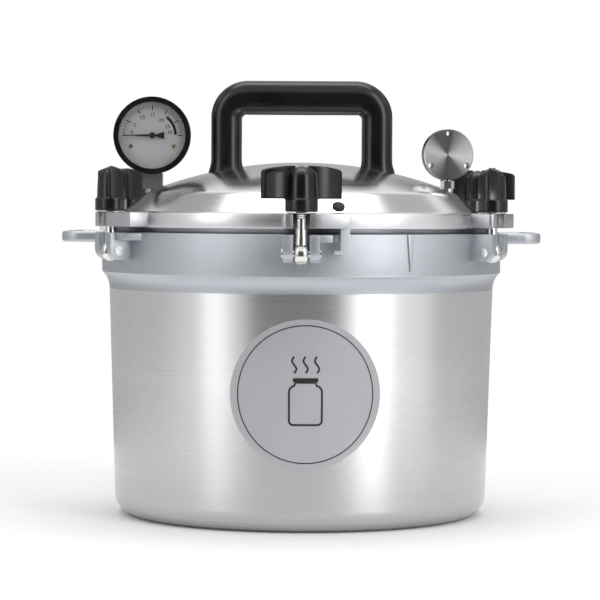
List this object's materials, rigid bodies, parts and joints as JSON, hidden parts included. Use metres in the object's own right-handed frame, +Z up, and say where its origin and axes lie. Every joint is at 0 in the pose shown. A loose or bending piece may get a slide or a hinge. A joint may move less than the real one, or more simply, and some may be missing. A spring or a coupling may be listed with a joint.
{
  "type": "pressure canner",
  "caption": "Stovetop pressure canner: thick cast pot and domed lid held by hinged bolts and wing nuts, with dial gauge, regulator weight and jar rack.",
  "frame": {"origin": "centre of the pot's flat base, on the surface it stands on", "axes": "+Z up along the pot's axis, -Y towards the front clamp and label, +X towards the regulator weight"},
  "size_m": [0.3988, 0.3834, 0.3642],
  "materials": {
    "cast_aluminium": "satin cast and brushed",
    "polished_aluminium": "polished",
    "rack_aluminium": "mill finish sheet",
    "bright_steel": "bright plated",
    "turned_steel": "turned",
    "nickel_plate": "dull nickel plate",
    "brass": "machined",
    "black_phenolic": "glossy moulded phenolic",
    "black_case": "gloss black enamel",
    "black_rubber": "matte",
    "pointer_black": "matte black",
    "dial_face": "matte printed",
    "gauge_glass": "clear",
    "label": "satin silver film"
  },
  "bodies": {
    "pot": {"pot_body": "cast_aluminium", "label_disc": "label", "clamp_pins": "bright_steel", "clamp_bolts": "bright_steel"},
    "rack": {"rack": "rack_aluminium"},
    "lid": {"lid_casting": "polished_aluminium", "clamp_washers": "bright_steel", "top_handle": "black_phenolic", "handle_screws": "bright_steel", "gauge_stem": "nickel_plate", "gauge_case": "black_case", "gauge_bezel": "black_case", "gauge_lens": "gauge_glass", "gauge_dial": "dial_face", "dial_screws": "brass", "gauge_movement": "brass", "bourdon_tube": "brass", "vent_pipe": "bright_steel", "vent_pipe_nut": "bright_steel", "overpressure_plug": "black_rubber"},
    "pointer": {"gauge_pointer": "pointer_black", "pointer_pinion": "brass"},
    "sector": {"gauge_sector": "brass"},
    "weight": {"regulator_weight": "turned_steel"},
    "insert_1": {"nut_insert_1": "brass"},
    "nut_1": {"wing_nut_1": "black_phenolic"},
    "insert_2": {"nut_insert_2": "brass"},
    "nut_2": {"wing_nut_2": "black_phenolic"},
    "insert_3": {"nut_insert_3": "brass"},
    "nut_3": {"wing_nut_3": "black_phenolic"},
    "insert_4": {"nut_insert_4": "brass"},
    "nut_4": {"wing_nut_4": "black_phenolic"},
    "insert_5": {"nut_insert_5": "brass"},
    "nut_5": {"wing_nut_5": "black_phenolic"},
    "insert_6": {"nut_insert_6": "brass"},
    "nut_6": {"wing_nut_6": "black_phenolic"}
  },
  "joints": [
    {"name": "lid_lift", "type": "slide", "parent": "pot", "child": "lid", "axis": [0, 0, 1], "range_m": [0, 0.2]},
    {"name": "rack_lift", "type": "slide", "parent": "pot", "child": "rack", "axis": [0, 0, 1], "range_m": [0, 0.19]},
    {"name": "weight_lift", "type": "slide", "parent": "lid", "child": "weight", "axis": [0, 0, 1], "range_m": [0, 0.06]},
    {"name": "pointer_turn", "type": "hinge", "parent": "lid", "child": "pointer", "pos_m": [-0.1255, 0, 0.3176], "axis": [0, 1, 0], "range_deg": [0, 180], "stiffness_Nm_per_rad": 0.0002},
    {"name": "sector_turn", "type": "hinge", "parent": "lid", "child": "sector", "pos_m": [-0.1255, 0, 0.3012], "axis": [0, 1, 0], "range_deg": [-32, 2]},
    {"name": "insert_1_rise", "type": "slide", "parent": "lid", "child": "insert_1", "axis": [0, 0, 1], "range_m": [0, 0.00476]},
    {"name": "wing_nut_1_turn", "type": "hinge", "parent": "insert_1", "child": "nut_1", "pos_m": [0, -0.1783, 0.2545], "axis": [0, 0, 1], "range_deg": [0, 1081]},
    {"name": "insert_2_rise", "type": "slide", "parent": "lid", "child": "insert_2", "axis": [0, 0, 1], "range_m": [0, 0.00476]},
    {"name": "wing_nut_2_turn", "type": "hinge", "parent": "insert_2", "child": "nut_2", "pos_m": [0.15441, -0.08915, 0.2545], "axis": [0, 0, 1], "range_deg": [0, 1081]},
    {"name": "insert_3_rise", "type": "slide", "parent": "lid", "child": "insert_3", "axis": [0, 0, 1], "range_m": [0, 0.00476]},
    {"name": "wing_nut_3_turn", "type": "hinge", "parent": "insert_3", "child": "nut_3", "pos_m": [0.15441, 0.08915, 0.2545], "axis": [0, 0, 1], "range_deg": [0, 1081]},
    {"name": "insert_4_rise", "type": "slide", "parent": "lid", "child": "insert_4", "axis": [0, 0, 1], "range_m": [0, 0.00476]},
    {"name": "wing_nut_4_turn", "type": "hinge", "parent": "insert_4", "child": "nut_4", "pos_m": [0, 0.1783, 0.2545], "axis": [0, 0, 1], "range_deg": [0, 1081]},
    {"name": "insert_5_rise", "type": "slide", "parent": "lid", "child": "insert_5", "axis": [0, 0, 1], "range_m": [0, 0.00476]},
    {"name": "wing_nut_5_turn", "type": "hinge", "parent": "insert_5", "child": "nut_5", "pos_m": [-0.15441, 0.08915, 0.2545], "axis": [0, 0, 1], "range_deg": [0, 1081]},
    {"name": "insert_6_rise", "type": "slide", "parent": "lid", "child": "insert_6", "axis": [0, 0, 1], "range_m": [0, 0.00476]},
    {"name": "wing_nut_6_turn", "type": "hinge", "parent": "insert_6", "child": "nut_6", "pos_m": [-0.15441, -0.08915, 0.2545], "axis": [0, 0, 1], "range_deg": [0, 1081]}
  ],
  "couplings": [
    {"joint": "sector_turn", "follows": "pointer_turn", "ratio": -0.17143},
    {"joint": "wing_nut_1_turn", "follows": "insert_1_rise", "rad_per_m": 3957.9},
    {"joint": "wing_nut_2_turn", "follows": "insert_2_rise", "rad_per_m": 3957.9},
    {"joint": "wing_nut_3_turn", "follows": "insert_3_rise", "rad_per_m": 3957.9},
    {"joint": "wing_nut_4_turn", "follows": "insert_4_rise", "rad_per_m": 3957.9},
    {"joint": "wing_nut_5_turn", "follows": "insert_5_rise", "rad_per_m": 3957.9},
    {"joint": "wing_nut_6_turn", "follows": "insert_6_rise", "rad_per_m": 3957.9}
  ]
}
